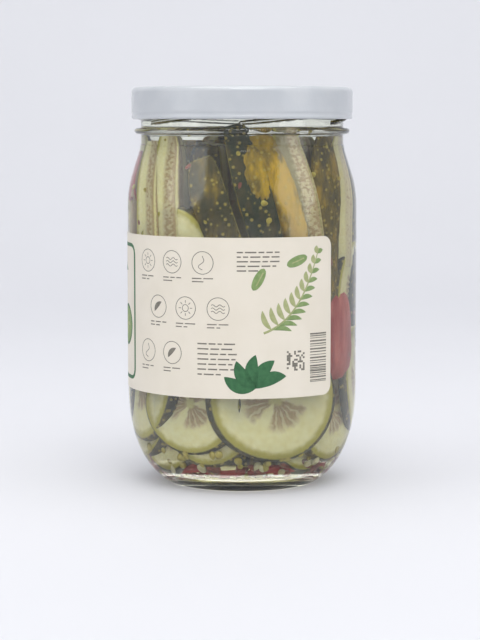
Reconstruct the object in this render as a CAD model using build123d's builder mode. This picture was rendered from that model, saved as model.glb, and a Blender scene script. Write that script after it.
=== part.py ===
"""A sealed glass jar of pickles in brine: jar, brine, pressed-metal lug lid and wrap-round label.

The jar stands on the XY plane with its axis along +Z. The label's side panel faces -Y, and the
label's two ends stand either side of a strip of bare glass on the +X side.
All sizes are in millimetres and all angles in degrees.
"""

import os
from math import cos, radians, sin, tan

from build123d import *

os.makedirs("parts", exist_ok=True)

# Glass body
body_radius = 44.5
wall = 2.6
heel_reach = 15.5  # from the body's side in to the flat ring that the jar stands on
bearing_width = 3.4
bearing_round = 1.2
push_up = 2.4  # how far the middle of the underside is raised
floor_height = 6.0  # the inside floor above the table
floor_reach = 18.5  # from the inside wall in to the flat part of the inside floor
heel_height = 37.0  # where the rounded heel becomes the straight wall
heel_angle = 30.0  # the heel's slope where it leaves the bearing ring
heel_low_handle = 11.0
heel_high_handle = 19.0
floor_handle = 10.0
cavity_high_handle = 18.5
straight_height = 70.5  # the straight wall between heel and shoulder
shoulder_radius = 41.0
shoulder_angle = 17.0  # the shoulder's slope from the vertical

# Neck and finish
neck_step = 5.3  # how much smaller the neck's radius is than the body's
neck_wall = 2.6
rim_round = 0.8
bead_depth = 2.5
bead_round = 1.2  # half the bead's thickness
bead_rise = 5.4  # the bead's middle above the top of the shoulder
bead_gap = 3.3  # from the bead up to the lid's lower edge
thread_count = 6
thread_arc = 56.0
thread_depth = 1.4
thread_half_height = 0.75
thread_tilt = 5.5

# Lid
lid_sheet = 0.4
lid_height = 12.2
lid_corner = 2.0
panel_margin = 1.6  # between the bore and the step down to the lid's centre panel
panel_depth = 0.9
button_radius = 14.0
button_depth = 0.5
curl_round = 0.9
curl_gap = 0.35  # between the threads and the curled edge of the lid
lug_height = 0.8
lug_arc = 10.0
lug_clearance = 0.2  # between a lug and the neck
lug_play = 0.1  # between a lug and the thread that it holds
lug_turn = 22.0  # from the middle of a thread to the middle of its lug

# Fill and label
head_space = 9.0
label_film = 0.15
label_margin_low = 0.6  # from the top of the heel to the label
label_margin_high = 10.1  # from the label to the shoulder
label_wrap = 300.0
label_end = 48.3  # the label's right-hand end, turned from -Y towards +X
label_corner = 4.0

# Places that follow from the sizes above
cavity_radius = body_radius - wall
bearing_radius = body_radius - heel_reach
hollow_radius = bearing_radius - bearing_width
floor_radius = cavity_radius - floor_reach
neck_radius = body_radius - neck_step
bore_radius = neck_radius - neck_wall
shoulder_base = heel_height + straight_height


def slope_top(start_radius, arc_radius, end_radius):
    """Height at which a shoulder that starts at start_radius has closed in to end_radius."""
    turn = radians(shoulder_angle)
    slope_radius = start_radius - arc_radius * (1 - cos(turn))
    return shoulder_base + arc_radius * sin(turn) + (slope_radius - end_radius) / tan(turn)


neck_base = slope_top(body_radius, shoulder_radius, neck_radius)
bore_base = slope_top(cavity_radius, shoulder_radius - wall, bore_radius)
bead_height = neck_base + bead_rise
lid_bottom = bead_height + bead_round + bead_gap
lid_top = lid_bottom + lid_height
glass_height = lid_top - lid_sheet
fill_height = glass_height - head_space
lid_radius = neck_radius + thread_depth + curl_gap + 2 * curl_round
panel_radius = bore_radius - panel_margin
label_bottom = heel_height + label_margin_low
label_height = straight_height - label_margin_low - label_margin_high

# A thread crosses above its lug, so its middle is lower by what it climbs on the way there
thread_climb = neck_radius * tan(radians(thread_tilt)) * sin(radians(lug_turn - lug_arc / 2))
thread_height = lid_bottom + lug_height + lug_play + thread_half_height - thread_climb


def shoulder_lines(start, arc_radius, top):
    """The shoulder's arc and slope, from the straight wall at start up to the point top."""
    curve = JernArc(start=start, tangent=(0, 1), radius=arc_radius, arc_size=shoulder_angle)
    Line(curve @ 1, top)


def outside_lines():
    """The outside of the glass as half an outline, from the axis under the push-up to the rim."""
    wall_start = (body_radius, heel_height)
    low_handle = (
        bearing_radius + heel_low_handle * cos(radians(heel_angle)),
        heel_low_handle * sin(radians(heel_angle)),
    )
    Bezier((0, push_up), (hollow_radius / 2, push_up), (hollow_radius, 0))
    Line((hollow_radius, 0), (bearing_radius, 0))
    Bezier((bearing_radius, 0), low_handle, (body_radius, heel_height - heel_high_handle), wall_start)
    Line(wall_start, (body_radius, shoulder_base))
    shoulder_lines((body_radius, shoulder_base), shoulder_radius, (neck_radius, neck_base))
    Line((neck_radius, neck_base), (neck_radius, glass_height))


def cavity_lines(level):
    """The inside of the glass as half an outline, from the axis at the floor up to level in the neck."""
    floor_end = (floor_radius, floor_height)
    wall_start = (cavity_radius, heel_height)
    high_handle = (cavity_radius, heel_height - cavity_high_handle)
    Line((0, floor_height), floor_end)
    Bezier(floor_end, (floor_radius + floor_handle, floor_height), high_handle, wall_start)
    Line(wall_start, (cavity_radius, shoulder_base))
    shoulder_lines((cavity_radius, shoulder_base), shoulder_radius - wall, (bore_radius, bore_base))
    Line((bore_radius, bore_base), (bore_radius, level))


# One thread of the glass finish: a rounded ridge, tilted like a short piece of a screw
thread_axis = Axis((0, 0, thread_height), Vector(0, 0, 1).rotate(Axis.X, thread_tilt))
thread_start = Vector(1, 0, 0).rotate(thread_axis, -thread_arc / 2)
with BuildPart() as thread:
    with BuildSketch(Plane(thread_axis.position, thread_start, thread_start.cross(thread_axis.direction))):
        with Locations((neck_radius, 0)):
            Ellipse(thread_depth, thread_half_height)
    revolve(axis=thread_axis, revolution_arc=thread_arc)

with BuildPart() as glass_jar:
    with BuildSketch(Plane.XZ) as glass_section:
        with BuildLine():
            outside_lines()
            Line((neck_radius, glass_height), (bore_radius, glass_height))
            cavity_lines(glass_height)
            Line((0, floor_height), (0, push_up))
        make_face()
        fillet(glass_section.vertices().group_by(Axis.Y)[-1], rim_round)
        fillet(glass_section.vertices().group_by(Axis.Y)[0].sort_by(Axis.X)[-1], bearing_round)
    revolve(axis=Axis.Z)
    with BuildSketch(Plane.XZ):
        with Locations((neck_radius, bead_height)):
            Rectangle(2 * (bead_depth - bead_round), 2 * bead_round)
        with Locations((neck_radius + bead_depth - bead_round, bead_height)):
            Circle(bead_round)
    revolve(axis=Axis.Z)
    with PolarLocations(0, thread_count):
        add(thread.part)
glass_jar.part.label = "glass_jar"

with BuildPart() as brine:
    with BuildSketch(Plane.XZ):
        with BuildLine():
            cavity_lines(fill_height)
            Line((bore_radius, fill_height), (0, fill_height))
            Line((0, fill_height), (0, floor_height))
        make_face()
    revolve(axis=Axis.Z)
brine.part.label = "brine"

# One lug of the lid: a tab from the curl in towards the neck, under the high part of a thread
with BuildPart() as lid_lug:
    with BuildSketch(Plane.XZ.rotated((0, 0, lug_turn - lug_arc / 2))):
        with Locations((neck_radius + lug_clearance, lid_bottom)):
            Rectangle(
                lid_radius - curl_round - neck_radius - lug_clearance,
                lug_height,
                align=(Align.MIN, Align.MIN),
            )
    revolve(axis=Axis.Z, revolution_arc=lug_arc)

with BuildPart() as lid:
    with BuildSketch(Plane.XZ) as lid_section:
        with BuildLine():
            upper = Polyline(
                (0, lid_top - panel_depth - button_depth),
                (button_radius - button_depth, lid_top - panel_depth - button_depth),
                (button_radius, lid_top - panel_depth),
                (panel_radius, lid_top - panel_depth),
                (panel_radius, lid_top),
                (lid_radius, lid_top),
                (lid_radius, lid_bottom + curl_round),
            )
            lower = Polyline(
                (0, glass_height - panel_depth - button_depth),
                (button_radius, glass_height - panel_depth - button_depth),
                (button_radius + lid_sheet, glass_height - panel_depth),
                (panel_radius + lid_sheet, glass_height - panel_depth),
                (panel_radius + lid_sheet, glass_height),
                (lid_radius - lid_sheet, glass_height),
                (lid_radius - lid_sheet, lid_bottom + curl_round),
            )
            Line(upper @ 0, lower @ 0)
            Line(upper @ 1, lower @ 1)
        make_face()
        outer_wall, inner_wall = (
            lid_section.vertices().group_by(Axis.X)[-1],
            lid_section.vertices().group_by(Axis.X)[-2],
        )
        fillet(outer_wall.sort_by(Axis.Y)[-1], lid_corner)
        fillet(inner_wall.sort_by(Axis.Y)[-1], lid_corner - lid_sheet)
    revolve(axis=Axis.Z)
    with BuildSketch(Plane.XZ):
        with Locations((lid_radius - curl_round, lid_bottom + curl_round)):
            Circle(curl_round)
    revolve(axis=Axis.Z)
    with PolarLocations(0, thread_count):
        add(lid_lug.part)
lid.part.label = "lid"

with BuildPart() as label:
    with BuildSketch(Plane.XZ.rotated((0, 0, label_end - 90 - label_wrap))):
        with Locations((body_radius, label_bottom)):
            Rectangle(label_film, label_height, align=(Align.MIN, Align.MIN))
    revolve(axis=Axis.Z, revolution_arc=label_wrap)
    for turn, beyond in ((label_end, 1), (label_end - label_wrap, -1)):
        outward = Vector(0, -1, 0).rotate(Axis.Z, turn)
        along = Vector(beyond, 0, 0).rotate(Axis.Z, turn)
        with BuildSketch(Plane((0, 0, label_bottom + label_height / 2), along, outward)):
            Rectangle(2 * label_corner, label_height + 2 * label_corner)
            RectangleRounded(
                4 * label_corner,
                label_height,
                label_corner,
                align=(Align.MAX, Align.CENTER),
                mode=Mode.SUBTRACT,
            )
        extrude(amount=body_radius + 2 * label_film, mode=Mode.SUBTRACT)
label.part.label = "label"

for piece in (glass_jar, brine, lid, label):
    export_step(piece.part, f"parts/{piece.part.label}.step")
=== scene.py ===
import math

import bpy
import numpy as np
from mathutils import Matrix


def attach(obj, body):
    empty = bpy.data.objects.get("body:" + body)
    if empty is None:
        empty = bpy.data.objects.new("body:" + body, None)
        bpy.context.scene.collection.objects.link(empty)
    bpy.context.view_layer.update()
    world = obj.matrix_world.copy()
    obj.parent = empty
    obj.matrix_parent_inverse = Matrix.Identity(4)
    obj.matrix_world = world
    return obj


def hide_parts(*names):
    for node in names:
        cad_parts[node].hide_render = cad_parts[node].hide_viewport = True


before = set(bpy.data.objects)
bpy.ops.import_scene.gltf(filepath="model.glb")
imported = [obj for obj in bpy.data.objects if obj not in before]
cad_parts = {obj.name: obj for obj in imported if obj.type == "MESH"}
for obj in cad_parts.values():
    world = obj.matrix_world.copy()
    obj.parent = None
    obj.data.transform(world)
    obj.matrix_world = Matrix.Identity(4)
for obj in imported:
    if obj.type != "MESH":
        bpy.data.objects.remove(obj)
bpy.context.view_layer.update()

mm = 0.001  # every size below is in millimetres and is scaled once, when its mesh is made
dice = np.random.default_rng(7)

# shared tools: shader wires, outlines, surfaces


class Wire:
    # A socket of one node tree. Sums and products of wires add Math nodes.
    def __init__(self, tree, socket=None):
        self.tree = tree
        self.socket = socket

    def make(self, kind, settings, inputs, output=0):
        node = self.tree.nodes.new(kind)
        for key, value in settings.items():
            if key == "stops":
                setStops(node.color_ramp, value)
            else:
                setattr(node, key, value)
        for key, value in inputs.items():
            if isinstance(value, Wire):
                self.tree.links.new(value.socket, node.inputs[key])
            else:
                node.inputs[key].default_value = value
        return Wire(self.tree, node.outputs[output])

    def math(self, operation, *values):
        return self.make("ShaderNodeMath", {"operation": operation}, dict(enumerate(values)))

    def __add__(self, other):
        return self.math("ADD", self, other)

    def __sub__(self, other):
        return self.math("SUBTRACT", self, other)

    def __rsub__(self, other):
        return self.math("SUBTRACT", other, self)

    def __mul__(self, other):
        return self.math("MULTIPLY", self, other)

    __radd__ = __add__
    __rmul__ = __mul__

    def step(self, low, high):
        # smooth 0 to 1 as the value goes from low to high, either way round
        settings = {"interpolation_type": "SMOOTHSTEP"}
        return self.make("ShaderNodeMapRange", settings, {"Value": self, "From Min": low, "From Max": high})

    def mix(self, first, second):
        # this wire blends from the first colour to the second
        return self.make("ShaderNodeMix", {"data_type": "RGBA"}, {0: self, 6: first, 7: second}, 2)

    def noise(self, vector, scale, detail=2.0, roughness=0.5):
        inputs = {"Vector": vector, "Scale": scale, "Detail": detail, "Roughness": roughness}
        return self.make("ShaderNodeTexNoise", {}, inputs)

    def stretched(self, vector, scale):
        # the vector with each axis scaled on its own
        return self.make("ShaderNodeVectorMath", {"operation": "MULTIPLY"}, {0: vector, 1: scale})

    def length(self, vector):
        return self.make("ShaderNodeVectorMath", {"operation": "LENGTH"}, {0: vector}, "Value")

    def principled(self, **inputs):
        # socket names are given as words joined by underscores
        named = {key.replace("_", " "): value for key, value in inputs.items()}
        return self.make("ShaderNodeBsdfPrincipled", {}, named)

    def bump(self, height, strength, distance):
        return self.make("ShaderNodeBump", {}, {"Height": height, "Strength": strength, "Distance": distance})


def setStops(ramp, stops):
    # first and last stops exist already, the rest are added between them
    while len(ramp.elements) < len(stops):
        ramp.elements.new(0.5)
    for element, (place, value) in zip(ramp.elements, stops):
        element.position = place
        element.color = value


def paint(red, green, blue):
    # display values from 0 to 255 turned into the linear colour that a shader takes
    shown = np.array([red, green, blue]) / 255
    linear = np.where(shown > 0.04045, ((shown + 0.055) / 1.055) ** 2.4, shown / 12.92)
    return (*[float(value) for value in linear], 1.0)


def newMaterial(name):
    # an empty tree: the material, a wire to build from, and the place in Object coordinates
    material = bpy.data.materials.new(name)
    material.use_nodes = True
    material.node_tree.nodes.clear()
    wire = Wire(material.node_tree)
    return material, wire, wire.make("ShaderNodeTexCoord", {}, {}, "Object")


def finishMaterial(material, shader, shadowColour=None):
    # joins the shader to the output. With a shadow colour, shadow rays pass straight through, tinted by it
    wire = Wire(material.node_tree)
    if shadowColour:
        shadow = wire.make("ShaderNodeLightPath", {}, {}, "Is Shadow Ray")
        passing = wire.make("ShaderNodeBsdfTransparent", {}, {"Color": shadowColour})
        shader = wire.make("ShaderNodeMixShader", {}, {0: shadow, 1: shader, 2: passing})
    output = wire.tree.nodes.new("ShaderNodeOutputMaterial")
    wire.tree.links.new(shader.socket, output.inputs["Surface"])
    return material


def bezier(points, count):
    # Bernstein sum: binomial(n, k) (1 - t)^(n - k) t^k times each control point
    t = np.linspace(0, 1, count)[:, None]
    n = len(points) - 1
    return sum(math.comb(n, k) * (1 - t) ** (n - k) * t**k * np.array(p) for k, p in enumerate(points))


def arc(centre, radius, start, end, count):
    # centre + radius (cos a, sin a) while a goes from start to end, in degrees
    a = np.radians(np.linspace(start, end, count))
    return np.array(centre) + radius * np.stack([np.cos(a), np.sin(a)], 1)


def straight(start, end, count):
    # start + t (end - start), without its two ends
    t = np.linspace(0, 1, count + 2)[1:-1, None]
    return np.array(start) + t * (np.array(end) - np.array(start))


def rounded(points, radius, count=5):
    # a polyline whose inner corners are quadratic curves that start radius away from each corner
    points = [np.array(p, float) for p in points]
    out = [points[0][None]]
    for before, corner, after in zip(points, points[1:], points[2:]):
        back, ahead = before - corner, after - corner
        reach = min(radius, np.linalg.norm(back) * 0.45, np.linalg.norm(ahead) * 0.45)
        near = corner + back / np.linalg.norm(back) * reach
        far = corner + ahead / np.linalg.norm(ahead) * reach
        out.append(bezier([near, corner, far], count))
    return np.vstack(out + [points[-1][None]])


def gridQuads(rows, columns, wrap=True):
    # quads of a rows by columns grid whose columns close into a ring when wrap is set
    i = np.arange(rows - 1)[:, None]
    j = np.arange(columns if wrap else columns - 1)[None]
    k = (j + 1) % columns
    corners = [i * columns + j, i * columns + k, (i + 1) * columns + k, (i + 1) * columns + j]
    return np.stack(corners, -1).reshape(-1, 4)


def fan(ring, pole):
    # triangles from each edge of a ring of vertex numbers to one pole
    return np.stack([ring, np.roll(ring, -1), np.full(len(ring), pole)], 1)


class Heap:
    # vertices, quads, triangles and point attributes gathered from many small surfaces
    def __init__(self):
        self.points, self.quads, self.triangles, self.extra = [], [], [], {}
        self.count = 0

    def add(self, points, quads, triangles, **extra):
        self.points.append(points)
        self.quads.append(quads + self.count)
        self.triangles.append(triangles + self.count)
        for name, values in extra.items():
            shape = (len(points),) + np.shape(values)[1:] if np.ndim(values) else (len(points),)
            self.extra.setdefault(name, []).append(np.broadcast_to(values, shape))
        self.count += len(points)

    def rings(self, rings, **extra):
        # a closed tube: rings (rows, columns, 3), shut at each end by a pole at the end ring's middle
        rows, columns, _ = rings.shape
        points = np.vstack([rings.reshape(-1, 3), rings[0].mean(0), rings[-1].mean(0)])
        first = fan(np.arange(columns)[::-1], rows * columns)
        last = fan(np.arange(columns) + (rows - 1) * columns, rows * columns + 1)
        grown = {}
        for name, values in extra.items():
            if np.ndim(values):
                flat = values.reshape(rows * columns, *values.shape[2:])
                ends = [values[0].mean(0)[None], values[-1].mean(0)[None]]
                grown[name] = np.concatenate([flat] + ends)
            else:
                grown[name] = values
        self.add(points, gridQuads(rows, columns), np.vstack([first, last]), **grown)

    def piece(self, name, material, slot, sharp=None, turned=False):
        # one mesh object from all that was gathered, with edges sharp above an angle, or faces turned over
        points, quads, triangles = (np.vstack(part) for part in (self.points, self.quads, self.triangles))
        if turned:
            quads, triangles = quads[:, ::-1], triangles[:, ::-1]
        mesh = bpy.data.meshes.new(name)
        mesh.vertices.add(len(points))
        mesh.vertices.foreach_set("co", (points * mm).astype(np.float32).ravel())
        mesh.loops.add(quads.size + triangles.size)
        corners = np.concatenate([quads.ravel(), triangles.ravel()])
        mesh.loops.foreach_set("vertex_index", corners.astype(np.int32))
        mesh.polygons.add(len(quads) + len(triangles))
        sizes = np.concatenate([np.full(len(quads), 4), np.full(len(triangles), 3)])
        mesh.polygons.foreach_set("loop_start", (np.cumsum(sizes) - sizes).astype(np.int32))
        mesh.polygons.foreach_set("use_smooth", np.ones(len(sizes), bool))
        mesh.update(calc_edges=True)
        mesh.validate()
        for key, chunks in self.extra.items():
            values = np.concatenate(chunks)
            kind, field = ("FLOAT", "value") if values.ndim == 1 else ("FLOAT_VECTOR", "vector")
            layer = mesh.attributes.new(key, kind, "POINT")
            layer.data.foreach_set(field, values.astype(np.float32).ravel())
        if sharp:
            mesh.set_sharp_from_angle(angle=math.radians(sharp))
        mesh.materials.append(material)
        piece = bpy.data.objects.new(name, mesh)
        bpy.context.scene.collection.objects.link(piece)
        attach(piece, "root")
        print(f"{name}: {len(quads) * 2 + len(triangles)} triangles")
        return piece


def lathe(outline, columns, push=None):
    # outline (r, z) turned about the axis: x = r sin a, y = -r cos a. push(a, r, z) adds to r
    a = np.linspace(0, 2 * np.pi, columns, endpoint=False)
    r = np.repeat(outline[:, :1], columns, 1)
    z = np.repeat(outline[:, 1:], columns, 1)
    turn = np.broadcast_to(a, r.shape)
    if push is not None:
        r = r + push(turn, r, z)
    return np.stack([r * np.sin(turn), -r * np.cos(turn), z], -1)


# jar, lid and fill: sizes in millimetres and degrees, then the places that follow from them

jar = {
    "bodyRadius": 44.5, "wall": 2.6, "heelReach": 15.5, "bearingWidth": 3.4, "pushUp": 2.4,
    "floorHeight": 6.0, "floorReach": 18.5, "heelHeight": 37.0, "heelAngle": 30.0,
    "heelLowHandle": 11.0, "heelHighHandle": 19.0, "floorHandle": 10.0, "cavityHighHandle": 18.5,
    "straightHeight": 70.5, "shoulderRadius": 41.0, "shoulderAngle": 17.0,
    "neckStep": 5.3, "neckWall": 2.6, "rimRound": 0.8, "beadDepth": 2.5, "beadRound": 1.2,
    "beadRise": 5.4, "beadGap": 3.3, "columns": 300,
}
thread = {
    "count": 6, "arc": 62.0, "depth": 1.4, "halfHeight": 0.8, "tilt": 5.5, "taper": 7.0,
    "aboveLid": 0.55, "turn": 30.0,
}
lid = {
    "sheet": 0.4, "height": 12.2, "corner": 2.0, "panelMargin": 1.6, "panelDepth": 0.9,
    "buttonRadius": 14.0, "buttonDepth": 0.5, "curlRound": 0.9, "curlGap": 0.35, "groove": 0.22,
    "lugReach": 1.5, "lugArc": 7.0, "lugTurn": 22.0, "columns": 360,
}
fill = {"headSpace": 9.0, "intoWall": 0.25, "meniscus": 0.9, "meniscusReach": 2.2, "columns": 240}
nearAxis = 0.01  # outlines stop here, and a pole closes them
floorPoints = 10  # how many points of the cavity's outline lie on its flat floor

bodyRadius = jar["bodyRadius"]
cavityRadius = bodyRadius - jar["wall"]
bearingRadius = bodyRadius - jar["heelReach"]
hollowRadius = bearingRadius - jar["bearingWidth"]
floorRadius = cavityRadius - jar["floorReach"]
neckRadius = bodyRadius - jar["neckStep"]
boreRadius = neckRadius - jar["neckWall"]
heelHeight = jar["heelHeight"]
shoulderBase = heelHeight + jar["straightHeight"]
lean = math.radians(jar["shoulderAngle"])


def slopeTop(startRadius, arcRadius, endRadius):
    # height where the shoulder's slope, tangent to its arc, has closed in to endRadius
    slopeRadius = startRadius - arcRadius * (1 - math.cos(lean))
    return shoulderBase + arcRadius * math.sin(lean) + (slopeRadius - endRadius) / math.tan(lean)


neckBase = slopeTop(bodyRadius, jar["shoulderRadius"], neckRadius)
boreBase = slopeTop(cavityRadius, jar["shoulderRadius"] - jar["wall"], boreRadius)
beadHeight = neckBase + jar["beadRise"]
lidBottom = beadHeight + jar["beadRound"] + jar["beadGap"]
lidTop = lidBottom + lid["height"]
glassTop = lidTop - lid["sheet"]
fillTop = glassTop - fill["headSpace"]
lidRadius = neckRadius + thread["depth"] + lid["curlGap"] + 2 * lid["curlRound"]


def shoulderOutline(startRadius, arcRadius, endRadius, endHeight):
    # the shoulder's arc, then its straight slope up to the neck
    curve = arc((startRadius - arcRadius, shoulderBase), arcRadius, 0, jar["shoulderAngle"], 14)
    return np.vstack([curve, straight(curve[-1], (endRadius, endHeight), 7)])


def cavityOutline():
    # the inside of the glass from the axis at the floor up to the bore
    start = (floorRadius, jar["floorHeight"])
    low = (floorRadius + jar["floorHandle"], jar["floorHeight"])
    high = (cavityRadius, heelHeight - jar["cavityHighHandle"])
    return np.vstack([
        [(nearAxis, jar["floorHeight"])],
        straight((0, jar["floorHeight"]), start, floorPoints - 2),
        bezier([start, low, high, (cavityRadius, heelHeight)], 36),
        straight((cavityRadius, heelHeight), (cavityRadius, shoulderBase), 12),
        shoulderOutline(cavityRadius, jar["shoulderRadius"] - jar["wall"], boreRadius, boreBase),
        [(boreRadius, boreBase)],
    ])


def outsideOutline():
    # the outside of the glass from the axis under the push-up, over the rim and down the bore
    angle = math.radians(jar["heelAngle"])
    reach = jar["heelLowHandle"]
    low = (bearingRadius + reach * math.cos(angle), reach * math.sin(angle))
    high = (bodyRadius, heelHeight - jar["heelHighHandle"])
    heel = bezier([(bearingRadius, 0), low, high, (bodyRadius, heelHeight)], 46)
    neck, blend = neckRadius, 0.5  # blend is the hollow curve where the bead leaves the neck
    beadOut = neck + jar["beadDepth"] - jar["beadRound"]
    below, above = beadHeight - jar["beadRound"], beadHeight + jar["beadRound"]
    ridge = neck + 0.26  # the parting line's small ridge at the foot of the neck
    rim, rimFoot = jar["rimRound"], glassTop - jar["rimRound"]
    threadsEnd = lidBottom + 6.0
    return np.vstack([
        bezier([(nearAxis, jar["pushUp"]), (hollowRadius / 2, jar["pushUp"]), (hollowRadius - 0.5, 0.12)], 12),
        bezier([(hollowRadius - 0.2, 0.03), (hollowRadius + 0.2, 0), (hollowRadius + 0.6, 0)], 3),
        [(bearingRadius - 1.2, 0)],
        bezier([(bearingRadius - 0.5, 0), (bearingRadius + 0.1, 0), (bearingRadius + 0.7, 0.45)], 4),
        heel[3:],
        straight((bodyRadius, heelHeight), (bodyRadius, shoulderBase), 12),
        shoulderOutline(bodyRadius, jar["shoulderRadius"], neck + 0.12, neckBase - 0.4),
        [(ridge, neckBase - 0.2), (ridge, neckBase + 0.1), (neck, neckBase + 0.3)],
        straight((neck, neckBase + 0.3), (neck, below - blend), 5),
        bezier([(neck, below - blend), (neck, below), (neck + blend, below)], 5),
        arc((beadOut, beadHeight), jar["beadRound"], -90, 90, 13),
        bezier([(neck + blend, above), (neck, above), (neck, above + blend)], 5),
        straight((neck, above + blend), (neck, threadsEnd), 46),
        straight((neck, threadsEnd), (neck, rimFoot), 4),
        arc((neck - rim, rimFoot), rim, 0, 90, 6),
        arc((boreRadius + rim, rimFoot), rim, 90, 180, 6),
        straight((boreRadius, rimFoot), (boreRadius, boreBase), 12),
    ])


cavity = cavityOutline()
insideWall = np.vstack([cavity, [(boreRadius, glassTop)]])[8:]  # from the floor's edge to the rim


def roomAt(z):
    # the cavity's radius at each height
    return np.interp(z, insideWall[:, 1], insideWall[:, 0])


def threadRidge(a, r, z):
    # each thread is a half-round ridge whose middle climbs as R tan(tilt) sin(turn), thinner at its ends
    middle = lidBottom + thread["aboveLid"]
    ridge = np.zeros_like(a)
    for k in range(thread["count"]):
        place = math.radians(thread["turn"] + 360 / thread["count"] * k)
        off = (a - place + np.pi) % (2 * np.pi) - np.pi
        climb = neckRadius * math.tan(math.radians(thread["tilt"])) * np.sin(off)
        span = np.clip((thread["arc"] / 2 - np.abs(np.degrees(off))) / thread["taper"], 0, 1)
        swell = np.sqrt(span * (2 - span))
        across = (z - middle - climb) / (thread["halfHeight"] * (0.6 + 0.4 * swell))
        ridge = np.maximum(ridge, thread["depth"] * swell * np.clip(1 - across**2, 0, 1) ** 0.6)
    onNeck = (r > neckRadius - 0.01) & (r < neckRadius + 0.01) & (z > beadHeight + 1.9)
    return ridge * onNeck


def blownWaves(a, r, z):
    # the slight unevenness of pressed glass: the sum of four long sine waves, on the inside wall below the neck
    inside = (np.abs(r - roomAt(z)) < 0.02) & (z > jar["floorHeight"] + 0.2) & (z < boreBase)
    waves = (
        0.10 * np.sin(2 * a + 0.6 + z * 0.031) + 0.07 * np.sin(3 * a + 2.1 - z * 0.055)
        + 0.05 * np.sin(5 * a + 4.0 + z * 0.09) + 0.06 * np.sin(z * 0.13 + 1.0)
    )
    return waves * inside

def glassMaterial():
    # clear glass with faint long waves in its surface. Shadow rays pass, so that the fill is lit
    material, wire, place = newMaterial("flintGlass")
    waves = wire.noise(wire.stretched(place, (1.0, 1.0, 0.45)), 38.0, 1.5)
    cloud = wire.noise(place, 60.0).step(0.2, 0.8)
    clear = wire.principled(
        Base_Color=cloud.mix((0.975, 0.985, 0.98, 1), (0.985, 0.99, 0.985, 1)),
        Transmission_Weight=1.0, Roughness=0.0, IOR=1.5, Normal=wire.bump(waves, 0.05, 0.004))
    return finishMaterial(material, clear, (0.95, 0.96, 0.955, 1))


glassOutline = np.vstack([outsideOutline(), cavity[::-1]])
glassHeap = Heap()
glassHeap.rings(lathe(
    glassOutline, jar["columns"], lambda a, r, z: threadRidge(a, r, z) + blownWaves(a, r, z)))
glass = glassHeap.piece("jarGlass", glassMaterial(), "glass", sharp=50)
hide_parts("glass_jar")
print("glass made")

# lid


def lidOutline():
    # pressed sheet: button, panel, rim, side and rolled edge outside, then back along the underside
    top, sheet, panel = lidTop, lid["sheet"], boreRadius - lid["panelMargin"]
    button, low = lid["buttonRadius"], lidTop - lid["panelDepth"]
    dip = low - lid["buttonDepth"]
    corner, curl = lid["corner"], lid["curlRound"]
    groove = lidRadius - lid["groove"]
    outside = rounded([
        (nearAxis, dip), (button - 1.6, dip), (button - 0.6, low),
        (panel - 0.7, low), (panel, top), (lidRadius - corner, top)], 0.6, 4)
    side = np.vstack([
        arc((lidRadius - corner, top - corner), corner, 90, 0, 10),
        straight((lidRadius, top - corner), (lidRadius, lidBottom + 3.0), 8),
        bezier([(lidRadius, lidBottom + 3.0), (lidRadius, lidBottom + 2.6),
                (groove, lidBottom + 2.3), (groove, lidBottom + 2.1)], 5),
    ])
    roll = arc((lidRadius - curl, lidBottom + curl), curl, 38, -250, 22)
    inside = rounded([
        (lidRadius - sheet, lidBottom + 2.6), (lidRadius - sheet, top - sheet), (panel + sheet, top - sheet),
        (panel - 0.7 + sheet, low - sheet), (button - 0.6 + sheet, low - sheet),
        (button - 1.6, dip - sheet), (nearAxis, dip - sheet)], 0.8, 4)
    return np.vstack([outside, side, roll, inside])


def lugPush(a, r, z):
    # the rolled edge is drawn in at each lug by a squared ramp in the turn, most at the roll's inner side
    middle = math.radians(thread["turn"] + lid["lugTurn"])
    share = np.pi / thread["count"]
    off = (a - middle + share) % (2 * share) - share
    near = np.clip(1 - np.abs(np.degrees(off)) / lid["lugArc"], 0, 1)
    inner = np.clip((lidRadius - lid["curlRound"] * 0.9 - r) / lid["curlRound"], 0, 1) * (z < lidBottom + 1.4)
    return -lid["lugReach"] * np.clip(near * 2.2, 0, 1) ** 2 * inner * (r > neckRadius)


def enamelMaterial():
    # white gloss enamel: near-even, with a faint orange-peel surface
    material, wire, place = newMaterial("whiteEnamel")
    cloud = wire.noise(place, 90.0, 3.0).step(0.3, 0.7)
    peel = wire.noise(place, 1400.0, 1.0)
    return finishMaterial(material, wire.principled(
        Base_Color=cloud.mix(paint(196, 199, 202), paint(190, 194, 198)), Roughness=cloud * 0.06 + 0.3,
        Coat_Weight=0.6, Coat_Roughness=0.08, Normal=wire.bump(peel, 0.12, 0.0002)))


lidHeap = Heap()
lidHeap.rings(lathe(lidOutline(), lid["columns"], lugPush))
lidPiece = lidHeap.piece("twistLid", enamelMaterial(), "lid_enamel", sharp=50, turned=True)
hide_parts("lid")
print("lid made")

# brine


def brineOutline():
    # the cavity grown a little into the wall, then a meniscus curve down to the level surface
    outer, reach = boreRadius + fill["intoWall"], fill["meniscusReach"]
    grown = cavity + np.array([fill["intoWall"], 0])
    grown[0, 0] = nearAxis
    grown[:floorPoints, 1] -= fill["intoWall"]
    wallTop = (outer, fillTop + fill["meniscus"])
    return np.vstack([
        grown,
        straight((outer, boreBase), wallTop, 4),
        bezier([wallTop, (boreRadius - 0.4, fillTop + 0.1), (boreRadius - reach, fillTop)], 6),
        straight((boreRadius - reach, fillTop), (nearAxis, fillTop), 8),
        [(nearAxis, fillTop)],
    ])


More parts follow.
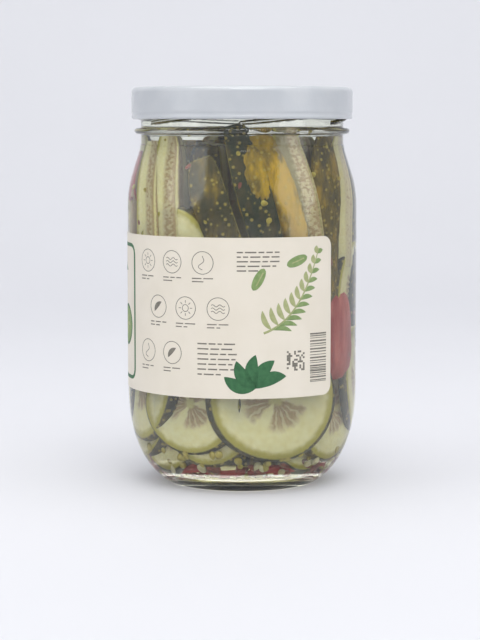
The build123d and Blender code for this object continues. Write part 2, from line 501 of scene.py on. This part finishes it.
def brineMaterial():
    # clear liquid with a faint olive tint. Shadow rays pass, as in the glass
    material, wire, place = newMaterial("brineLiquid")
    cloud = wire.noise(place, 30.0, 2.0).step(0.3, 0.7)
    clear = wire.principled(
        Base_Color=cloud.mix(paint(248, 248, 236), paint(244, 245, 230)),
        Transmission_Weight=1.0, Roughness=0.0, IOR=1.333)
    return finishMaterial(material, clear, paint(250, 250, 240))


brineHeap = Heap()
brineHeap.rings(lathe(brineOutline(), fill["columns"]))
brine = brineHeap.piece("brineFill", brineMaterial(), "brine", sharp=60)
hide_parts("brine")
print("brine made")

# what is sunk in the brine


def confine(points, give=3.0, clear=0.35):
    # flattens against the glass what would pass it: the last few millimetres, give, are squeezed together
    radius = np.hypot(points[..., 0], points[..., 1])
    z = np.clip(points[..., 2], None, fillTop - 1.0)
    floor = jar["floorHeight"] + clear
    z = np.where(z < floor + 2, floor + 2 * np.exp(np.minimum(z - floor - 2, 0) / 2), z)
    limit = roomAt(z) - clear - give
    over = np.maximum(radius - limit, 0)
    squeezed = np.where(over > 0, limit + give * (1 - np.exp(-over / give)), radius)
    scale = squeezed / np.maximum(radius, 1e-6)
    return np.stack([points[..., 0] * scale, points[..., 1] * scale, z], -1)


def wobble(points, size, length, seed):
    # soft unevenness: three sine waves with seeded directions and phases, added along each axis
    rng = np.random.default_rng(seed)
    waves = rng.normal(0, 1 / length, (3, 3))
    phases = rng.uniform(0, 6.28, (3, 3))
    return points + size * sum(np.sin(points @ waves[k][:, None] + phases[k]) for k in range(3)) / 2


def turned(points, spin, tilt, heading):
    # spin about Z, then tilt about X, then heading about Z, in degrees
    def about(axis, angle):
        c, s = math.cos(math.radians(angle)), math.sin(math.radians(angle))
        if axis == "z":
            return np.array([[c, s, 0], [-s, c, 0], [0, 0, 1]])
        return np.array([[1, 0, 0], [0, c, s], [0, -s, c]])
    return points @ about("z", spin) @ about("x", tilt) @ about("z", heading)


cucumber = {
    "sliceColumns": 56, "faceRings": 15, "backRings": 8, "spearRows": 48, "dish": 0.004,
    "backSpears": 13, "middleSpears": 9, "floorSlices": 8,
}


def polar(turn, distance, z):
    # a place in the jar: turn in degrees from the front towards the label's right-hand end
    return (distance * math.sin(math.radians(turn)), -distance * math.cos(math.radians(turn)), z)


def addSlice(heap, at, radius, thick, tilt, heading, tone, seed):
    # a round slice: face rings, a rounded rim and back rings, out of round by low cosine terms
    columns, front, back = cucumber["sliceColumns"], cucumber["faceRings"], cucumber["backRings"]
    rng = np.random.default_rng(seed)
    a = np.linspace(2 * np.pi, 0, columns, endpoint=False)
    uneven = 1 + 0.025 * np.cos(2 * a + rng.uniform(0, 6)) + 0.014 * np.cos(3 * a + rng.uniform(0, 6))
    face = np.concatenate([
        np.linspace(0.03, 0.9, front), [0.955, 0.985, 1.0, 1.0, 0.985, 0.955], np.linspace(0.9, 0.03, back)])
    depth = np.concatenate([
        np.full(front, 0.5), [0.49, 0.42, 0.24, -0.24, -0.42, -0.49], np.full(back, -0.5)])[:, None]
    rho = face[:, None] * np.ones(columns)
    x, z = radius * rho * uneven * np.cos(a), radius * rho * uneven * np.sin(a)
    chambers = np.clip(1 - np.abs(rho - 0.3) / 0.22, 0, 1) * np.clip(0.5 - np.cos(3 * a), 0, 1)
    relief = 0.35 * chambers * np.sin(a * 21 + 3 * rho)
    onFace = np.sign(depth) * (np.abs(depth) > 0.45)
    y = -depth * thick + cucumber["dish"] * x**2 - relief * onFace
    rings = wobble(np.stack([x, y, z], -1), 0.35, 14, seed)
    rings = confine(turned(rings, 0, tilt, heading) + np.array(at))
    cut = np.stack([rho * np.cos(a), rho * np.sin(a), depth * thick / 10 + 0 * rho + seed], -1)
    heap.rings(rings, cut=cut, tone=float(tone))


def wedgeOutline(half, inner):
    # a wedge's section: out along one cut face, round the skin, back along the other, over the blunt tip
    out = np.linspace(inner, 0.97, 9)[:, None] * np.array([math.cos(half), -math.sin(half)])
    skin = arc((0, 0), 1.0, -math.degrees(half) + 2, math.degrees(half) - 2, 17)
    back = np.linspace(0.97, inner, 9)[:, None] * np.array([math.cos(half), math.sin(half)])
    tip = straight(back[-1], out[0], 3)
    return np.vstack([out, skin, back, tip])


def addSpear(heap, start, end, radius, half, roll, bow, tone, seed, inner=0.12, rows=cucumber["spearRows"]):
    # a wedge, half degrees to each side, carried along a bowed line from start to end and thinner at its ends.
    # roll turns the skin: 0 faces it away from the jar's axis
    start, end = np.array(start, float), np.array(end, float)
    rng = np.random.default_rng(seed)
    t = np.linspace(0, 1, rows)[:, None]
    along = (end - start) / np.linalg.norm(end - start)
    middle = (start + end) / 2
    outward = np.array([middle[0], middle[1], 0.0])
    outward = outward / max(np.linalg.norm(outward), 1e-6)
    outward = outward - along * (outward @ along)
    outward = outward / np.linalg.norm(outward)
    across = np.cross(along, outward)
    c, s = math.cos(math.radians(roll)), math.sin(math.radians(roll))
    outward, across = outward * c + across * s, across * c - outward * s
    section = wedgeOutline(math.radians(half), inner)
    centre = start + t * (end - start) + outward * bow * np.sin(np.pi * t)
    size = radius * (1 - 0.35 * np.abs(2 * t - 1) ** 5) * (1 + 0.04 * np.sin(t * 7 + rng.uniform(0, 6)))
    size[0] *= 0.93
    size[-1] *= 0.93
    x = (section[:, 0] - 0.62)[None] * size
    y = section[:, 1][None] * size
    rho = np.hypot(section[:, 0], section[:, 1])[None]
    length = np.linalg.norm(end - start)
    lumps = 0.28 * np.sin(t * length * 1.1 + 3 * y) * np.sin(y * 1.3 + t * length * 0.5 + seed)
    x = x + lumps * (rho > 0.98)
    rings = centre[:, None] + x[..., None] * outward + y[..., None] * across
    rings = confine(wobble(rings, 0.5, 16, seed))
    cut = np.stack([section[:, 0] + 0 * x, section[:, 1] + 0 * x, t * length / 10 + 0 * x + seed], -1)
    heap.rings(rings, cut=cut, tone=float(tone))


def cucumberMaterial():
    # a solid pattern in the cucumber's own section: skin, green band, flesh, and three seed chambers
    material, wire, place = newMaterial("pickledCucumber")
    cut = wire.make("ShaderNodeAttribute", {"attribute_name": "cut"}, {}, "Vector")
    tone = wire.make("ShaderNodeAttribute", {"attribute_name": "tone"}, {}, "Fac")
    rho = wire.length(wire.stretched(cut, (1, 1, 0)))
    x, y = (wire.make("ShaderNodeSeparateXYZ", {}, {0: cut}, axis) for axis in (0, 1))
    angle = wire.math("ARCTAN2", y, x)
    rough = wire.noise(cut, 9.0, 3.0) - 0.5
    fine = wire.noise(cut, 34.0, 3.0) - 0.5
    cloud = rough * 2 + 0.5
    lobes = wire.math("COSINE", angle * 3 + rough * 1.2).step(0.95, 0.35)
    chamber = (rho + rough * 0.16).step(0.56, 0.40) * lobes
    streak = wire.math("SINE", angle * 19 + rough * 7).step(0.1, 0.8) * rho.step(0.1, 0.24)
    knot = (rho + rough * 0.1).step(0.13, 0.06)
    freshFlesh = cloud.mix(paint(252, 246, 204), paint(240, 230, 172))
    steepedFlesh = cloud.mix(paint(156, 144, 96), paint(132, 118, 74))
    flesh = tone.step(0.36, 0.52).mix(freshFlesh, steepedFlesh)
    gel = (fine * 2 + 0.5).mix(paint(200, 170, 140), paint(172, 152, 108))
    gel = (streak * 0.75).mix(gel, paint(226, 216, 178))
    inside = knot.mix(chamber.mix(flesh, gel), paint(222, 214, 150))
    inside = (rho + rough * 0.08).step(0.80, 0.93).mix(inside, paint(188, 178, 74))
    # skin: from dark olive through brown to mustard by tone, mottled, with pale warts
    spots = wire.make("ShaderNodeTexVoronoi", {}, {"Vector": place, "Scale": 420.0}, "Distance")
    wart = spots.step(0.34, 0.16)
    mottle = wire.noise(wire.stretched(place, (1, 1, 0.4)), 190.0, 4.0, 0.6).step(0.3, 0.7)
    skin = wire.make("ShaderNodeValToRGB", {"stops": [
        (0.0, paint(34, 42, 12)), (0.35, paint(74, 64, 20)),
        (0.6, paint(118, 98, 20)), (1.0, paint(208, 166, 12))]}, {0: tone + (mottle - 0.5) * 0.55})
    skin = (wart * 0.7).mix(skin, paint(186, 166, 78))
    rim = (rho + fine * 0.03).step(0.955, 0.985)
    height = wart * 0.5 * rim + mottle * 0.25 + streak * chamber * (1 - rim) * 0.6 + fine * 0.3
    return finishMaterial(material, wire.principled(
        Base_Color=rim.mix(inside, skin), Roughness=mottle * 0.15 + 0.3, IOR=1.36,
        Normal=wire.bump(height, 0.5, 0.0006), Subsurface_Weight=0.25,
        Subsurface_Radius=(0.004, 0.0035, 0.0015), Subsurface_Scale=1.0))


cucumbers = Heap()
# slices that lie against the glass: turn, distance, height, radius, thickness, tilt, skin tone
wallSlices = [
    (19, 33.5, 36.5, 24.0, 5.0, -4, 0.2), (-32, 32.0, 34.0, 19.5, 4.5, -6, 0.25),
    (-20, 28.5, 28.0, 17.5, 4.5, -14, 0.3), (-43, 32.5, 88.0, 19.5, 5.0, 5, 0.35),
    (-56, 25.0, 22.0, 15.0, 4.5, -24, 0.3), (46, 25.0, 22.0, 14.5, 4.5, -22, 0.3),
    (-84, 27.0, 26.0, 16.0, 4.5, -18, 0.25), (66, 30.0, 30.0, 19.0, 4.5, -8, 0.3),
    (104, 33.0, 38.0, 21.0, 5.0, -6, 0.2), (150, 33.0, 33.0, 22.0, 5.0, -5, 0.3),
    (196, 33.0, 40.0, 23.0, 5.0, -4, 0.25), (243, 33.0, 34.0, 21.0, 4.5, -6, 0.2),
    (286, 32.5, 40.0, 21.5, 5.0, -5, 0.3), (88, 34.0, 76.0, 18.0, 5.0, 4, 0.25),
    (205, 34.0, 84.0, 19.0, 5.0, 2, 0.3),
]
for number, (turn, distance, z, radius, thick, tilt, tone) in enumerate(wallSlices):
    addSlice(cucumbers, polar(turn, distance, z), radius, thick, tilt, turn, tone, number + 3)
dice.uniform(0, 360, len(wallSlices))  # spent, so that the spears below keep their places

# spears seen at the front: start and end as turn, distance, height, then radius, half angle, roll, tone
frontSpears = [
    ((-52, 32, 135), (-46, 32, 72), 16, 30, 120, 0.3), ((-24, 33, 126), (6, 35, 76), 15, 28, 20, 0.42),
    ((-7, 34, 138), (17, 35, 84), 14, 28, -14, 0.12), ((8, 36, 136), (36, 37, 94), 7.5, 80, 0, 0.9),
    ((0, 36, 133), (10, 37, 104), 7, 70, 0, 0.8), ((26, 32, 137), (47, 35, 78), 15, 30, 150, 0.5),
    ((58, 33, 134), (50, 35, 70), 14, 32, 8, 0.5), ((78, 35, 134), (74, 36, 84), 13, 32, 176, 0.4),
    ((-68, 32, 132), (-64, 33, 76), 15, 30, 120, 0.25),
]
for number, (start, end, radius, half, roll, tone) in enumerate(frontSpears):
    bow = dice.uniform(-2, 3)
    addSpear(cucumbers, polar(*start), polar(*end), radius, half, roll, bow, tone, number + 40)

# spears round the sides and back, leaning one way and the other
for number in range(cucumber["backSpears"]):
    turn = 92 + number * 15.5 + dice.uniform(-4, 4)
    sway = dice.uniform(-22, 22)
    high, low = dice.uniform(124, 139), dice.uniform(46, 62)
    radius, half, roll = dice.uniform(11.5, 15), dice.uniform(26, 34), dice.choice([0, 8, 172, 150])
    bow, tone = dice.uniform(-2, 3), dice.uniform(0.05, 0.9)
    addSpear(cucumbers, polar(turn, 32, high), polar(turn + sway, 34, low), radius, half, roll, bow, tone,
             number + 60)
# the middle of the jar, packed behind what lies at the glass
for number in range(cucumber["middleSpears"]):
    turn, distance = number * 40 + dice.uniform(-9, 9), 16 if number % 3 else 6
    sway = dice.uniform(-30, 30)
    top, foot = dice.uniform(122, 138), dice.uniform(22, 40)
    radius, roll, tone = dice.uniform(14, 17), dice.uniform(0, 360), dice.uniform(0.1, 0.7)
    addSpear(cucumbers, polar(turn, distance, top), polar(turn + sway, distance, foot), radius, 40, roll, 0,
             tone, number + 90)
# slices that lie one on another on the floor
for number in range(cucumber["floorSlices"]):
    turn, distance, radius = number * 137, dice.uniform(2, 11), dice.uniform(17, 22)
    tilt, tone = dice.uniform(68, 84), dice.uniform(0.1, 0.5)
    addSlice(cucumbers, polar(turn, distance, 11 + number * 2.6), radius, 4.5, tilt, turn, tone, number + 150)
cucumbers.piece("cucumberPieces", cucumberMaterial(), "cucumber_skin", sharp=42)
print("cucumbers made")


def pepperMaterial():
    # wet red pepper: deep red with paler streaks
    material, wire, place = newMaterial("redPepper")
    streak = wire.noise(wire.stretched(place, (1, 1, 0.25)), 260.0, 3.0).step(0.35, 0.7)
    fine = wire.noise(place, 900.0, 2.0)
    return finishMaterial(material, wire.principled(
        Base_Color=streak.mix(paint(166, 52, 48), paint(198, 100, 92)), Roughness=streak * 0.1 + 0.28, IOR=1.36,
        Normal=wire.bump(fine, 0.25, 0.0003), Subsurface_Weight=0.2,
        Subsurface_Radius=(0.004, 0.0015, 0.001), Subsurface_Scale=1.0))


pepper = {"strips": 14, "stripStep": 26, "stripArc": 30, "rows": 30}
# turn, low end, high end, radius
pepperPieces = [(63, 42, 75, 12), (-88, 108, 128, 8), (131, 60, 92, 10), (228, 96, 120, 9)]
peppers = Heap()
# strips of red pepper that lie on the floor along the glass, and larger pieces higher up
for number in range(pepper["strips"]):
    turn = -64 + number * pepper["stripStep"] + dice.uniform(-7, 7)
    z = dice.uniform(8.0, 10.5)
    distance, reach = roomAt(z) - 3.2, pepper["stripArc"] / 2
    start = polar(turn - reach, distance, z + dice.uniform(-1, 1))
    end = polar(turn + reach, distance, z + dice.uniform(-1, 2))
    radius, roll = dice.uniform(2.8, 4.2), dice.uniform(-40, 40)
    addSpear(peppers, start, end, radius, 32, roll, 2.5, 0, number + 120, inner=0.55, rows=pepper["rows"])
for turn, low, high, radius in pepperPieces:
    start, end = polar(turn, 35, high), polar(turn + 3, 35, low)
    addSpear(peppers, start, end, radius, 48, 0, 3, 0, turn + 200, inner=0.6)
peppers.piece("pepperStrips", pepperMaterial(), "pepper", sharp=45)


def addGrain(heap, at, size, seed):
    # a seed or crumb: (cos u cos v, cos u sin v, sin u) times its three sizes, thinner towards one end
    rng = np.random.default_rng(seed)
    u = np.linspace(-1.35, 1.35, 7)[:, None]
    v = np.linspace(0, 2 * np.pi, 10, endpoint=False)[None]
    taper = 1 - 0.3 * np.sin(u)
    rings = np.stack([np.cos(u) * np.cos(v) * taper, np.cos(u) * np.sin(v) * taper, np.sin(u) + 0 * v], -1)
    rings = rings * np.array(size) / 2 * rng.uniform(0.85, 1.15, 3)
    rings = turned(rings, rng.uniform(0, 360), rng.uniform(40, 140), rng.uniform(0, 360)) + np.array(at)
    heap.rings(confine(wobble(rings, 0.15, 2, seed), give=1.0))


def spiceMaterial(name, dark, pale):
    # a seed's coat, mottled between two colours
    material, wire, place = newMaterial(name)
    cloud = wire.noise(place, 500.0, 3.0).step(0.35, 0.65)
    return finishMaterial(material, wire.principled(
        Base_Color=cloud.mix(dark, pale), Roughness=cloud * 0.1 + 0.35, Subsurface_Weight=0.15,
        Subsurface_Radius=(0.002, 0.0015, 0.001), Subsurface_Scale=1.0))


def scatter(heap, count, low, high, size, inset, seed):
    # grains at seeded turns and heights, a little inside the glass
    rng = np.random.default_rng(seed)
    for number in range(count):
        z = rng.uniform(low, high)
        at = polar(rng.uniform(0, 360), roomAt(z) - rng.uniform(*inset), z)
        addGrain(heap, at, np.array(size) * rng.uniform(0.7, 1.25), seed * 1000 + number)


# each kind: colours, slot, and its lots as count, lowest and highest place, size, distance from the glass, seed
spices = {
    "garlicBits": (paint(214, 204, 160), paint(232, 224, 186), "spice", [
        (34, 6.5, 12, (3.4, 2.6, 4.6), (1.0, 3.0), 11)]),
    "mustardSeeds": (paint(168, 150, 52), paint(200, 184, 86), "spice", [
        (60, 7, 17, (2.6, 2.2, 3.0), (0.8, 4.0), 12), (40, 100, 138, (2.0, 1.6, 2.4), (0.6, 3.0), 13)]),
    "pepperFlakes": (paint(122, 56, 40), paint(158, 84, 62), "pepper", [
        (120, 6.3, 12, (4.2, 1.2, 3.4), (0.8, 7.0), 14), (26, 20, 138, (3.0, 0.8, 2.4), (0.6, 2.0), 15)]),
}
for name, (dark, pale, slot, lots) in spices.items():
    grains = Heap()
    for lot in lots:
        scatter(grains, *lot)
    grains.piece(name, spiceMaterial(name + "Coat", dark, pale), slot)
print("spices made")

# label

label = {
    "film": 0.15, "marginLow": 0.6, "marginHigh": 10.1, "wrap": 300.0, "end": 48.3, "corner": 4.0,
    "columns": 420, "rows": 12, "cornerColumns": 12,
}
labelRadius = bodyRadius + label["film"]
labelBottom = heelHeight + label["marginLow"]
labelTop = shoulderBase - label["marginHigh"]
labelRight = math.radians(label["end"]) * labelRadius
labelLeft = labelRight - math.radians(label["wrap"]) * labelRadius


def wrapped(s, z, lift):
    # a flat place on the label, s along and z up, laid on the jar: the turn is s over the radius
    turn = s / labelRadius
    radius = labelRadius + lift
    return np.stack([radius * np.sin(turn), -radius * np.cos(turn), z + 0 * turn], -1)


def paperMaterial():
    # uncoated cream paper with faint fibres and cloudiness
    material, wire, place = newMaterial("labelPaper")
    cloud = wire.noise(place, 70.0, 3.0).step(0.3, 0.7)
    fibre = wire.noise(wire.stretched(place, (1, 1, 3)), 1500.0, 3.0)
    return finishMaterial(material, wire.principled(
        Base_Color=(cloud * 0.5 + fibre * 0.4).mix(paint(231, 223, 208), paint(223, 215, 198)),
        Roughness=cloud * 0.08 + 0.5, Coat_Weight=0.15, Coat_Roughness=0.35,
        Normal=wire.bump(fibre, 0.15, 0.0001)))


def labelRings():
    # rings across the paper: up the outside and down the inside, shorter near the rounded ends
    corner, rows = label["corner"], label["rows"]
    ends = (1 - np.cos(np.linspace(0, np.pi / 2, label["cornerColumns"]))) * corner
    inset = corner + 0.6
    s = np.concatenate([
        labelLeft + ends, np.linspace(labelLeft + inset, labelRight - inset, label["columns"]),
        (labelRight - ends)[::-1]])
    edge = np.minimum(np.minimum(s - labelLeft, labelRight - s), corner)
    cutIn = corner - np.sqrt(np.maximum(corner**2 - (corner - edge) ** 2, 0))
    v = np.concatenate([np.linspace(0, 1, rows), np.linspace(1, 0, rows)])
    lift = np.concatenate([np.zeros(rows), np.full(rows, -label["film"] - 0.03)])
    low, high = labelBottom + cutIn, labelTop - cutIn
    z = low[:, None] + v[None] * (high - low)[:, None]
    return wrapped(s[:, None] + 0 * z, z, lift[None])


labelHeap = Heap()
labelHeap.rings(labelRings())
labelPiece = labelHeap.piece("labelWrap", paperMaterial(), "label_paper", sharp=40, turned=True)
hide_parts("label")
print("label made")

# label print: plain motifs, each a ribbon of changing width laid on the paper
inks = {name: Heap() for name in ("deepGreen", "leafGreen", "oliveGreen", "warmGrey")}


def stroke(ink, points, half, layer=1):
    # a closed flat ribbon along an evenly resampled line. Its edges stand half to each side
    points = np.array(points, float)
    along = np.concatenate([[0], np.cumsum(np.hypot(*np.diff(points, axis=0).T))])
    even = np.linspace(0, along[-1], max(3, min(120, int(along[-1] / 0.6) + 2)))
    line = np.stack([np.interp(even, along, points[:, k]) for k in (0, 1)], 1)
    width = np.interp(even / along[-1], np.linspace(0, 1, np.size(half)), np.atleast_1d(half))
    heading = np.gradient(line, axis=0)
    heading = heading / np.hypot(*heading.T)[:, None]
    side = np.stack([heading[:, 1], -heading[:, 0]], 1)
    count = 5 if width.max() < 1 else 17
    across = np.concatenate([np.linspace(-1, 1, count), np.linspace(1, -1, count)])
    lift = np.concatenate([np.full(count, 0.025 * layer), np.full(count, -0.01)])
    flat = line[:, None] + side[:, None] * (width[:, None] * across)[..., None]
    inks[ink].rings(wrapped(flat[..., 0], flat[..., 1], lift[None]))


def ring(ink, s, z, radius, half, start=0, end=360):
    stroke(ink, arc((s, z), radius, start, end, 49), half)


def disc(ink, s, z, radius, layer=1):
    # a stroke as wide as a circle's chord at each place
    t = np.linspace(-0.995, 0.995, 33)
    stroke(ink, np.stack([s + radius * t, z + 0 * t], 1), radius * np.sqrt(1 - t**2), layer)


def leaf(ink, s, z, length, angle, width, layer=1):
    # a bowed midrib whose width swells as sin(pi t) and ends in a point
    t = np.linspace(0, 1, 17)
    c, d = math.cos(math.radians(angle)), math.sin(math.radians(angle))
    bow = 0.12 * length * np.sin(np.pi * t)
    stroke(ink, np.stack([s + c * length * t - d * bow, z + d * length * t + c * bow], 1),
           0.03 + width * np.sin(np.pi * t) ** 0.8, layer)


def plainLines(s, z, length, count, gap, seed, half=0.26):
    # rows of short bars that stand for small print and say nothing
    rng = np.random.default_rng(seed)
    for row in range(count):
        place, end = s, s + length * (1 if row < count - 1 else 0.6)
        while place < end - 1.2:
            word = min(rng.uniform(1.4, 4.6), end - place)
            stroke("warmGrey", [(place, z - row * gap), (place + word, z - row * gap)], half)
            place += word + 0.8


def badge(s, z, number):
    # a thin round line badge with a sun, waves, a curl or a leaf in it, and two rows of bars below
    line = 0.13
    ring("warmGrey", s, z, 4.2, line)
    t = np.linspace(-1, 1, 25)
    if number % 4 == 0:
        ring("warmGrey", s, z, 1.3, line)
        for k in range(8):
            ray = np.array([math.cos(k * math.pi / 4), math.sin(k * math.pi / 4)])
            stroke("warmGrey", [(s, z) + ray * 1.9, (s, z) + ray * 2.9], line)
    elif number % 4 == 1:
        for level in (-1.2, 0, 1.2):
            stroke("warmGrey", np.stack([s + 2.6 * t, z + level + 0.45 * np.sin(6 * t)], 1), line)
    elif number % 4 == 2:
        stroke("warmGrey", np.stack([s + 1.7 * np.sin(np.pi * t) * (1 - t) / 1.6, z + 2.6 * t], 1), line)
    else:
        leaf("warmGrey", s - 1.9, z - 1.9, 5.2, 45, 0.9)
    plainLines(s - 4.2, z - 5.8, 8.4, 2, 1.2, 300 + number, 0.2)


badgePlaces = [(-41, 88), (-28, 88), (-15, 88), (-35, 71), (-22, 71), (-9, 71), (-41, 54), (-28, 54)]
for number, (s, z) in enumerate(badgePlaces):
    badge(s, z, number)
plainLines(-17, 58, 15, 7, 1.9, 401)
plainLines(-2, 92, 16, 5, 1.7, 402)

# a fern spray with two gherkins beside it, and a fan of dark leaves low down
stem = bezier([(8, 62), (20, 66), (26, 78), (31, 93)], 24)
stroke("oliveGreen", stem, [0.45, 0.2])
for number in range(2, 23, 2):
    s, z = stem[number]
    reach = 8.5 * (1 - number / 34)
    leaf("oliveGreen", s, z, reach, 118 - number, 1.0)
    leaf("leafGreen", s, z, reach, -8 + number * 1.5, 0.9)
for s, z, angle in ((4, 78, 62), (17, 87, 20)):
    t = np.linspace(0, 1, 21)
    heading = math.radians(angle)
    body = np.stack([s + 9 * t * math.cos(heading), z + 9 * t * math.sin(heading)], 1)
    stroke("leafGreen", body, 0.2 + 1.7 * np.sin(np.pi * t) ** 0.45)
    stroke("oliveGreen", body[4:-4] + [0.4, 0.1], 0.22, 2)
for angle in (20, 55, 90, 125, 160):
    leaf("deepGreen", 5, 41.5, 12.5, angle, 2.5)
# chance blocks and bars that encode nothing
block = 0.75
for column, row in np.argwhere(np.random.default_rng(31).uniform(size=(10, 10)) < 0.5):
    s, z = 17 + column * block, 48 + row * block
    stroke("warmGrey", [(s, z), (s + block, z)], 0.36)
bars = np.cumsum(np.random.default_rng(32).choice([0.55, 0.8, 1.1], 21))
for number, place in enumerate(bars):
    stroke("warmGrey", [(27, 42 + place), (35, 42 + place)], 0.13 + 0.08 * (number % 3))

# front panel on the far side: a frame, cucumber rounds, a long pepper and leaves
frameLine = rounded([(-79, 93), (-106, 93), (-106, 42), (-52, 42), (-52, 93), (-79, 93)], 4)
stroke("deepGreen", frameLine, 0.7)
for s, z, radius in ((-92, 60, 9), (-76, 56, 7.5), (-63, 62, 8)):
    disc("deepGreen", s, z, radius, 1)
    disc("leafGreen", s, z, radius - 0.9, 2)
    for k in range(6):
        leaf("oliveGreen", s, z, radius * 0.62, k * 60 + s, 0.7, 3)
leaf("deepGreen", -98, 78, 36, 8, 2.6)
for angle in (35, 70, 105, 140):
    leaf("leafGreen", -79, 80, 9, angle, 1.5, 2)
ring("deepGreen", -79, 49, 3.2, 0.3, start=20, end=160)
plainLines(-181, 90, 46, 16, 2.6, 403)
stroke("warmGrey", rounded([(-158, 94), (-184, 94), (-184, 44), (-132, 44), (-132, 94), (-158, 94)], 1), 0.2)
plainLines(-124, 84, 12, 12, 2.4, 404)


def inkMaterial(name, dark, pale):
    # ink with a little unevenness in how much of it the paper took
    material, wire, place = newMaterial(name)
    cloud = wire.noise(place, 600.0, 3.0).step(0.3, 0.7)
    return finishMaterial(material, wire.principled(
        Base_Color=cloud.mix(dark, pale), Roughness=cloud * 0.08 + 0.5))


inkColours = {
    "deepGreen": (paint(44, 96, 58), paint(56, 110, 68)),
    "leafGreen": (paint(120, 146, 88), paint(136, 158, 102)),
    "oliveGreen": (paint(158, 164, 112), paint(172, 176, 128)),
    "warmGrey": (paint(112, 108, 98), paint(130, 126, 114)),
}
for name, (dark, pale) in inkColours.items():
    inks[name].piece(name + "Print", inkMaterial(name + "Ink", dark, pale), "label_ink")
print("print made")

# camera, lights and stage

view = {"distance": 0.780, "height": 0.1402, "pitch": 5.68, "side": -0.0008, "lens": 112.6}
camera = bpy.data.objects.new("camera", bpy.data.cameras.new("camera"))
camera.data.lens = view["lens"]
camera.data.sensor_width = 36.0
camera.location = (view["side"], -view["distance"], view["height"])
camera.rotation_euler = (math.radians(90 - view["pitch"]), 0, 0)
bpy.context.scene.collection.objects.link(camera)
bpy.context.scene.camera = camera


stage = {
    "halfWidth": 5.0, "near": -5.0, "bendStart": 0.7, "bendRadius": 0.6, "top": 2.6, "columns": 9,
    # the radii between which the painted glow disc under the jar's foot fades out, in metres
    "glowOuter": 0.0294, "glowInner": 0.0275,
}


def stageMaterial():
    # pale matt paper sweep with a barely visible cloud and a faint even glow, and painted light: a bright
    # glowing disc under the jar's foot stands in for light carried through the thick glass base
    material, wire, place = newMaterial("paperSweep")
    cloud = wire.noise(place, 4.0, 2.0).step(0.3, 0.7)
    # painted light: a bright glowing disc just inside the jar's bearing ring, seen through the glass base; the
    # rest of the sweep glows faintly and evenly
    under = wire.length(place).step(stage["glowOuter"], stage["glowInner"])
    return finishMaterial(material, wire.principled(
        Base_Color=cloud.mix((0.685, 0.69, 0.715, 1), (0.695, 0.70, 0.725, 1)), Roughness=0.7,
        Emission_Color=under.mix((0.03, 0.03, 0.032, 1), (1.0, 0.99, 0.97, 1)), Emission_Strength=1.7))


def sweepSurface():
    # floor, quarter circle and wall in one sheet: the side outline carried along X. Its sizes are in metres
    bend, radius, columns = stage["bendStart"], stage["bendRadius"], stage["columns"]
    outline = np.vstack([
        straight((stage["near"], 0), (bend, 0), 14), arc((bend, radius), radius, -90, 0, 16),
        straight((bend + radius, radius), (bend + radius, stage["top"]), 6)])
    x = np.linspace(-stage["halfWidth"], stage["halfWidth"], columns)
    y, z = (np.repeat(outline[:, axis, None], columns, 1) for axis in (0, 1))
    points = np.stack([np.broadcast_to(x, y.shape), y, z], -1)
    mesh = bpy.data.meshes.new("sweep")
    faces = gridQuads(len(outline), columns, wrap=False)
    mesh.from_pydata(points.reshape(-1, 3).tolist(), [], faces.tolist())
    mesh.polygons.foreach_set("use_smooth", np.ones(len(mesh.polygons), bool))
    mesh.materials.append(stageMaterial())
    sweep = bpy.data.objects.new("sweep", mesh)
    bpy.context.scene.collection.objects.link(sweep)


sweepSurface()

lights = [
    # name, place, aim, size, power, colour
    ("overhead", (0.0, -0.1, 1.5), (0, 0, 0.05), 1.6, 11.0, (1.0, 0.99, 0.97)),
    ("leftWindow", (-1.3, -0.7, 0.6), (0, 0, 0.08), 1.2, 4.0, (0.97, 0.98, 1.0)),
    ("frontFill", (0.1, -1.15, 1.75), (0, 0, 0.07), 1.2, 13.5, (1.0, 0.99, 0.98)),
    ("rightFill", (1.3, -0.8, 0.5), (0, 0, 0.08), 1.2, 4.0, (0.97, 0.98, 1.0)),
]
for name, place, aim, size, power, colour in lights:
    lamp = bpy.data.lights.new(name, "AREA")
    lamp.shape = "DISK"
    lamp.size = size
    lamp.energy = power
    lamp.color = colour
    holder = bpy.data.objects.new(name, lamp)
    holder.location = place
    toward = np.array(aim) - np.array(place)
    holder.rotation_euler = (math.atan2(math.hypot(toward[0], toward[1]), -toward[2]), 0,
                             math.atan2(-toward[0], toward[1]))
    bpy.context.scene.collection.objects.link(holder)

world = bpy.data.worlds.new("studioAir")
world.use_nodes = True
world.node_tree.nodes["Background"].inputs["Color"].default_value = (0.88, 0.90, 0.96, 1)
world.node_tree.nodes["Background"].inputs["Strength"].default_value = 0.56
bpy.context.scene.world = world
bpy.context.scene.view_settings.view_transform = "Standard"
print("studio made")
